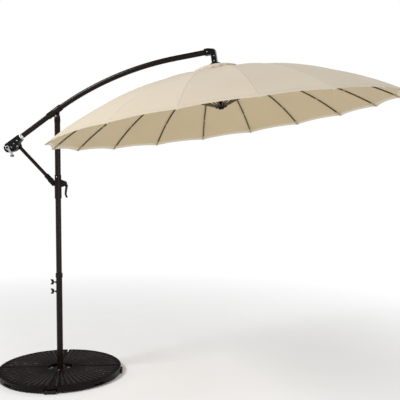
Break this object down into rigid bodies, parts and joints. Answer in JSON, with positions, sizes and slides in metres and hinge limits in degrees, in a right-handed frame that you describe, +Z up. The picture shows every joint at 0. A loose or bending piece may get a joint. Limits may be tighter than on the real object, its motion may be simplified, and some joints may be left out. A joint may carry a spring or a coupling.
{
  "type": "cantilever parasol",
  "caption": "Cantilever garden parasol with a bent arm, crank winch, swivelling mast, sliding tilt clamp, ribbed round canopy that folds, and a cross base under slab weights.",
  "frame": {"origin": "on the floor under the mast's axis, in the middle of the centre pad's underside", "axes": "+X from the mast to the canopy, along the arm seen from above; +Z up; +Y to the left of the arm, seen from behind the mast"},
  "size_m": [3.1972, 2.7, 2.6114],
  "materials": {
    "frame_paint": "satin",
    "black_plastic": "satin",
    "chrome": "polished",
    "zinc": "satin",
    "weights": "satin",
    "cloth": "matte",
    "cord": "matte",
    "rib_paint": "satin"
  },
  "bodies": {
    "base": {"base_cross": "zinc", "base_weights": "weights", "foot_bolts": "zinc", "lower_mast": "frame_paint"},
    "wing_upper": {"wing_bolt_upper": "black_plastic"},
    "wing_lower": {"wing_bolt_lower": "black_plastic"},
    "mast": {"upper_mast": "frame_paint", "mast_head": "frame_paint"},
    "slider": {"slider_sleeve": "frame_paint"},
    "slider_lever": {"slider_lever": "black_plastic"},
    "strut": {"strut_tube": "frame_paint", "strut_grip": "black_plastic"},
    "arm": {"arm_tube": "frame_paint", "arm_bracket": "frame_paint", "winch_housing": "black_plastic", "pivot_bolts": "zinc", "elbow_bracket": "black_plastic", "lift_cord": "cord", "top_hub": "black_plastic", "canopy_fabric": "cloth"},
    "winch": {"winch_drum": "black_plastic", "winch_crank": "chrome"},
    "elbow_pulley": {"elbow_pulley": "black_plastic"},
    "runner": {"runner": "black_plastic"},
    "rib_01": {"rib_01": "rib_paint"},
    "stretcher_01": {"stretcher_01": "rib_paint"},
    "rib_02": {"rib_02": "rib_paint"},
    "stretcher_02": {"stretcher_02": "rib_paint"},
    "rib_03": {"rib_03": "rib_paint"},
    "stretcher_03": {"stretcher_03": "rib_paint"},
    "rib_04": {"rib_04": "rib_paint"},
    "stretcher_04": {"stretcher_04": "rib_paint"},
    "rib_05": {"rib_05": "rib_paint"},
    "stretcher_05": {"stretcher_05": "rib_paint"},
    "rib_06": {"rib_06": "rib_paint"},
    "stretcher_06": {"stretcher_06": "rib_paint"},
    "rib_07": {"rib_07": "rib_paint"},
    "stretcher_07": {"stretcher_07": "rib_paint"},
    "rib_08": {"rib_08": "rib_paint"},
    "stretcher_08": {"stretcher_08": "rib_paint"},
    "rib_09": {"rib_09": "rib_paint"},
    "stretcher_09": {"stretcher_09": "rib_paint"},
    "rib_10": {"rib_10": "rib_paint"},
    "stretcher_10": {"stretcher_10": "rib_paint"},
    "rib_11": {"rib_11": "rib_paint"},
    "stretcher_11": {"stretcher_11": "rib_paint"},
    "rib_12": {"rib_12": "rib_paint"},
    "stretcher_12": {"stretcher_12": "rib_paint"},
    "rib_13": {"rib_13": "rib_paint"},
    "stretcher_13": {"stretcher_13": "rib_paint"},
    "rib_14": {"rib_14": "rib_paint"},
    "stretcher_14": {"stretcher_14": "rib_paint"},
    "rib_15": {"rib_15": "rib_paint"},
    "stretcher_15": {"stretcher_15": "rib_paint"},
    "rib_16": {"rib_16": "rib_paint"},
    "stretcher_16": {"stretcher_16": "rib_paint"},
    "rib_17": {"rib_17": "rib_paint"},
    "stretcher_17": {"stretcher_17": "rib_paint"},
    "rib_18": {"rib_18": "rib_paint"},
    "stretcher_18": {"stretcher_18": "rib_paint"}
  },
  "joints": [
    {"name": "mast_swivel", "type": "hinge", "parent": "base", "child": "mast", "pos_m": [0, 0, 0.8], "axis": [0, 0, 1], "continuous": true},
    {"name": "wing_bolt_upper_turn", "type": "hinge", "parent": "base", "child": "wing_upper", "pos_m": [-0.05, 0, 0.76], "axis": [1, 0, 0], "continuous": true},
    {"name": "wing_bolt_lower_turn", "type": "hinge", "parent": "base", "child": "wing_lower", "pos_m": [-0.05, 0, 0.683], "axis": [1, 0, 0], "continuous": true},
    {"name": "arm_tilt", "type": "hinge", "parent": "mast", "child": "arm", "pos_m": [0, 0, 2.12], "axis": [0, -1, 0], "range_deg": [-8.4, 8]},
    {"name": "slider_slide", "type": "slide", "parent": "mast", "child": "slider", "axis": [0, 0, 1], "range_m": [-0.085, 0.09]},
    {"name": "strut_swing", "type": "hinge", "parent": "slider", "child": "strut", "pos_m": [-0.04, 0, 1.5775], "axis": [0, 1, 0], "range_deg": [-8, 8]},
    {"name": "lever_swing", "type": "hinge", "parent": "slider", "child": "slider_lever", "pos_m": [0.053, 0, 1.573], "axis": [0, -1, 0], "range_deg": [0, 110]},
    {"name": "canopy_fold", "type": "slide", "parent": "arm", "child": "runner", "axis": [0.1461, 0, -0.9893], "range_m": [0, 0.78263], "deforming": ["canopy_fabric", "lift_cord"]},
    {"name": "winch_turn", "type": "hinge", "parent": "arm", "child": "winch", "pos_m": [-0.4324, 0, 1.86738], "axis": [0, -1, 0], "range_deg": [-5, 2808]},
    {"name": "elbow_pulley_turn", "type": "hinge", "parent": "arm", "child": "elbow_pulley", "pos_m": [1.28783, 0, 2.58299], "axis": [0, 1, 0], "range_deg": [-5, 4489]},
    {"name": "rib_01_hinge", "type": "hinge", "parent": "arm", "child": "rib_01", "pos_m": [1.36552, 0.00781, 2.42868], "axis": [-0.1718, 0.9848, -0.0254], "range_deg": [-1, 73]},
    {"name": "stretcher_01_hinge", "type": "hinge", "parent": "rib_01", "child": "stretcher_01", "pos_m": [1.86628, 0.09551, 2.44197], "axis": [0.1718, -0.9848, 0.0254], "range_deg": [-1, 132]},
    {"name": "rib_02_hinge", "type": "hinge", "parent": "arm", "child": "rib_02", "pos_m": [1.36024, 0.0225, 2.4279], "axis": [-0.4946, 0.866, -0.073], "range_deg": [-1, 73]},
    {"name": "stretcher_02_hinge", "type": "hinge", "parent": "rib_02", "child": "stretcher_02", "pos_m": [1.80165, 0.275, 2.43243], "axis": [0.4946, -0.866, 0.073], "range_deg": [-1, 132]},
    {"name": "rib_03_hinge", "type": "hinge", "parent": "arm", "child": "rib_03", "pos_m": [1.3503, 0.03447, 2.42643], "axis": [-0.7578, 0.6428, -0.1119], "range_deg": [-1, 73]},
    {"name": "stretcher_03_hinge", "type": "hinge", "parent": "rib_03", "child": "stretcher_03", "pos_m": [1.68019, 0.42132, 2.4145], "axis": [0.7578, -0.6428, 0.1119], "range_deg": [-1, 132]},
    {"name": "rib_04_hinge", "type": "hinge", "parent": "arm", "child": "rib_04", "pos_m": [1.33691, 0.04229, 2.42446], "axis": [-0.9296, 0.342, -0.1373], "range_deg": [-1, 73]},
    {"name": "stretcher_04_hinge", "type": "hinge", "parent": "rib_04", "child": "stretcher_04", "pos_m": [1.51654, 0.51683, 2.39033], "axis": [0.9296, -0.342, 0.1373], "range_deg": [-1, 132]},
    {"name": "rib_05_hinge", "type": "hinge", "parent": "arm", "child": "rib_05", "pos_m": [1.32168, 0.045, 2.42221], "axis": [-0.9893, 0, -0.1461], "range_deg": [-1, 73]},
    {"name": "stretcher_05_hinge", "type": "hinge", "parent": "rib_05", "child": "stretcher_05", "pos_m": [1.33045, 0.55, 2.36285], "axis": [0.9893, 0, 0.1461], "range_deg": [-1, 132]},
    {"name": "rib_06_hinge", "type": "hinge", "parent": "arm", "child": "rib_06", "pos_m": [1.30646, 0.04229, 2.41996], "axis": [-0.9296, -0.342, -0.1373], "range_deg": [-1, 73]},
    {"name": "stretcher_06_hinge", "type": "hinge", "parent": "rib_06", "child": "stretcher_06", "pos_m": [1.14435, 0.51683, 2.33537], "axis": [0.9296, 0.342, 0.1373], "range_deg": [-1, 132]},
    {"name": "rib_07_hinge", "type": "hinge", "parent": "arm", "child": "rib_07", "pos_m": [1.29307, 0.03447, 2.41798], "axis": [-0.7578, -0.6428, -0.1119], "range_deg": [-1, 73]},
    {"name": "stretcher_07_hinge", "type": "hinge", "parent": "rib_07", "child": "stretcher_07", "pos_m": [0.98071, 0.42132, 2.31121], "axis": [0.7578, 0.6428, 0.1119], "range_deg": [-1, 132]},
    {"name": "rib_08_hinge", "type": "hinge", "parent": "arm", "child": "rib_08", "pos_m": [1.28313, 0.0225, 2.41651], "axis": [-0.4946, -0.866, -0.073], "range_deg": [-1, 73]},
    {"name": "stretcher_08_hinge", "type": "hinge", "parent": "rib_08", "child": "stretcher_08", "pos_m": [0.85924, 0.275, 2.29327], "axis": [0.4946, 0.866, 0.073], "range_deg": [-1, 132]},
    {"name": "rib_09_hinge", "type": "hinge", "parent": "arm", "child": "rib_09", "pos_m": [1.27784, 0.00781, 2.41573], "axis": [-0.1718, -0.9848, -0.0254], "range_deg": [-1, 73]},
    {"name": "stretcher_09_hinge", "type": "hinge", "parent": "rib_09", "child": "stretcher_09", "pos_m": [0.79461, 0.09551, 2.28373], "axis": [0.1718, 0.9848, 0.0254], "range_deg": [-1, 132]},
    {"name": "rib_10_hinge", "type": "hinge", "parent": "arm", "child": "rib_10", "pos_m": [1.27784, -0.00781, 2.41573], "axis": [0.1718, -0.9848, 0.0254], "range_deg": [-1, 73]},
    {"name": "stretcher_10_hinge", "type": "hinge", "parent": "rib_10", "child": "stretcher_10", "pos_m": [0.79461, -0.09551, 2.28373], "axis": [-0.1718, 0.9848, -0.0254], "range_deg": [-1, 132]},
    {"name": "rib_11_hinge", "type": "hinge", "parent": "arm", "child": "rib_11", "pos_m": [1.28313, -0.0225, 2.41651], "axis": [0.4946, -0.866, 0.073], "range_deg": [-1, 73]},
    {"name": "stretcher_11_hinge", "type": "hinge", "parent": "rib_11", "child": "stretcher_11", "pos_m": [0.85924, -0.275, 2.29327], "axis": [-0.4946, 0.866, -0.073], "range_deg": [-1, 132]},
    {"name": "rib_12_hinge", "type": "hinge", "parent": "arm", "child": "rib_12", "pos_m": [1.29307, -0.03447, 2.41798], "axis": [0.7578, -0.6428, 0.1119], "range_deg": [-1, 73]},
    {"name": "stretcher_12_hinge", "type": "hinge", "parent": "rib_12", "child": "stretcher_12", "pos_m": [0.98071, -0.42132, 2.31121], "axis": [-0.7578, 0.6428, -0.1119], "range_deg": [-1, 132]},
    {"name": "rib_13_hinge", "type": "hinge", "parent": "arm", "child": "rib_13", "pos_m": [1.30646, -0.04229, 2.41996], "axis": [0.9296, -0.342, 0.1373], "range_deg": [-1, 73]},
    {"name": "stretcher_13_hinge", "type": "hinge", "parent": "rib_13", "child": "stretcher_13", "pos_m": [1.14435, -0.51683, 2.33537], "axis": [-0.9296, 0.342, -0.1373], "range_deg": [-1, 132]},
    {"name": "rib_14_hinge", "type": "hinge", "parent": "arm", "child": "rib_14", "pos_m": [1.32168, -0.045, 2.42221], "axis": [0.9893, 0, 0.1461], "range_deg": [-1, 73]},
    {"name": "stretcher_14_hinge", "type": "hinge", "parent": "rib_14", "child": "stretcher_14", "pos_m": [1.33045, -0.55, 2.36285], "axis": [-0.9893, 0, -0.1461], "range_deg": [-1, 132]},
    {"name": "rib_15_hinge", "type": "hinge", "parent": "arm", "child": "rib_15", "pos_m": [1.33691, -0.04229, 2.42446], "axis": [0.9296, 0.342, 0.1373], "range_deg": [-1, 73]},
    {"name": "stretcher_15_hinge", "type": "hinge", "parent": "rib_15", "child": "stretcher_15", "pos_m": [1.51654, -0.51683, 2.39033], "axis": [-0.9296, -0.342, -0.1373], "range_deg": [-1, 132]},
    {"name": "rib_16_hinge", "type": "hinge", "parent": "arm", "child": "rib_16", "pos_m": [1.3503, -0.03447, 2.42643], "axis": [0.7578, 0.6428, 0.1119], "range_deg": [-1, 73]},
    {"name": "stretcher_16_hinge", "type": "hinge", "parent": "rib_16", "child": "stretcher_16", "pos_m": [1.68019, -0.42132, 2.4145], "axis": [-0.7578, -0.6428, -0.1119], "range_deg": [-1, 132]},
    {"name": "rib_17_hinge", "type": "hinge", "parent": "arm", "child": "rib_17", "pos_m": [1.36024, -0.0225, 2.4279], "axis": [0.4946, 0.866, 0.073], "range_deg": [-1, 73]},
    {"name": "stretcher_17_hinge", "type": "hinge", "parent": "rib_17", "child": "stretcher_17", "pos_m": [1.80165, -0.275, 2.43243], "axis": [-0.4946, -0.866, -0.073], "range_deg": [-1, 132]},
    {"name": "rib_18_hinge", "type": "hinge", "parent": "arm", "child": "rib_18", "pos_m": [1.36552, -0.00781, 2.42868], "axis": [0.1718, 0.9848, 0.0254], "range_deg": [-1, 73]},
    {"name": "stretcher_18_hinge", "type": "hinge", "parent": "rib_18", "child": "stretcher_18", "pos_m": [1.86628, -0.09551, 2.44197], "axis": [-0.1718, -0.9848, -0.0254], "range_deg": [-1, 132]}
  ],
  "couplings": [
    {"joint": "slider_slide", "follows": "arm_tilt", "m_per_rad": -0.58847},
    {"joint": "strut_swing", "follows": "arm_tilt", "ratio": 0.79971},
    {"joint": "winch_turn", "follows": "canopy_fold", "rad_per_m": 62.5},
    {"joint": "elbow_pulley_turn", "follows": "canopy_fold", "rad_per_m": 100},
    {"joint": "rib_01_hinge", "follows": "canopy_fold", "rad_per_m": 1.6057},
    {"joint": "stretcher_01_hinge", "follows": "canopy_fold", "rad_per_m": 2.903},
    {"joint": "rib_02_hinge", "follows": "canopy_fold", "rad_per_m": 1.6057},
    {"joint": "stretcher_02_hinge", "follows": "canopy_fold", "rad_per_m": 2.903},
    {"joint": "rib_03_hinge", "follows": "canopy_fold", "rad_per_m": 1.6057},
    {"joint": "stretcher_03_hinge", "follows": "canopy_fold", "rad_per_m": 2.903},
    {"joint": "rib_04_hinge", "follows": "canopy_fold", "rad_per_m": 1.6057},
    {"joint": "stretcher_04_hinge", "follows": "canopy_fold", "rad_per_m": 2.903},
    {"joint": "rib_05_hinge", "follows": "canopy_fold", "rad_per_m": 1.6057},
    {"joint": "stretcher_05_hinge", "follows": "canopy_fold", "rad_per_m": 2.903},
    {"joint": "rib_06_hinge", "follows": "canopy_fold", "rad_per_m": 1.6057},
    {"joint": "stretcher_06_hinge", "follows": "canopy_fold", "rad_per_m": 2.903},
    {"joint": "rib_07_hinge", "follows": "canopy_fold", "rad_per_m": 1.6057},
    {"joint": "stretcher_07_hinge", "follows": "canopy_fold", "rad_per_m": 2.903},
    {"joint": "rib_08_hinge", "follows": "canopy_fold", "rad_per_m": 1.6057},
    {"joint": "stretcher_08_hinge", "follows": "canopy_fold", "rad_per_m": 2.903},
    {"joint": "rib_09_hinge", "follows": "canopy_fold", "rad_per_m": 1.6057},
    {"joint": "stretcher_09_hinge", "follows": "canopy_fold", "rad_per_m": 2.903},
    {"joint": "rib_10_hinge", "follows": "canopy_fold", "rad_per_m": 1.6057},
    {"joint": "stretcher_10_hinge", "follows": "canopy_fold", "rad_per_m": 2.903},
    {"joint": "rib_11_hinge", "follows": "canopy_fold", "rad_per_m": 1.6057},
    {"joint": "stretcher_11_hinge", "follows": "canopy_fold", "rad_per_m": 2.903},
    {"joint": "rib_12_hinge", "follows": "canopy_fold", "rad_per_m": 1.6057},
    {"joint": "stretcher_12_hinge", "follows": "canopy_fold", "rad_per_m": 2.903},
    {"joint": "rib_13_hinge", "follows": "canopy_fold", "rad_per_m": 1.6057},
    {"joint": "stretcher_13_hinge", "follows": "canopy_fold", "rad_per_m": 2.903},
    {"joint": "rib_14_hinge", "follows": "canopy_fold", "rad_per_m": 1.6057},
    {"joint": "stretcher_14_hinge", "follows": "canopy_fold", "rad_per_m": 2.903},
    {"joint": "rib_15_hinge", "follows": "canopy_fold", "rad_per_m": 1.6057},
    {"joint": "stretcher_15_hinge", "follows": "canopy_fold", "rad_per_m": 2.903},
    {"joint": "rib_16_hinge", "follows": "canopy_fold", "rad_per_m": 1.6057},
    {"joint": "stretcher_16_hinge", "follows": "canopy_fold", "rad_per_m": 2.903},
    {"joint": "rib_17_hinge", "follows": "canopy_fold", "rad_per_m": 1.6057},
    {"joint": "stretcher_17_hinge", "follows": "canopy_fold", "rad_per_m": 2.903},
    {"joint": "rib_18_hinge", "follows": "canopy_fold", "rad_per_m": 1.6057},
    {"joint": "stretcher_18_hinge", "follows": "canopy_fold", "rad_per_m": 2.903}
  ]
}
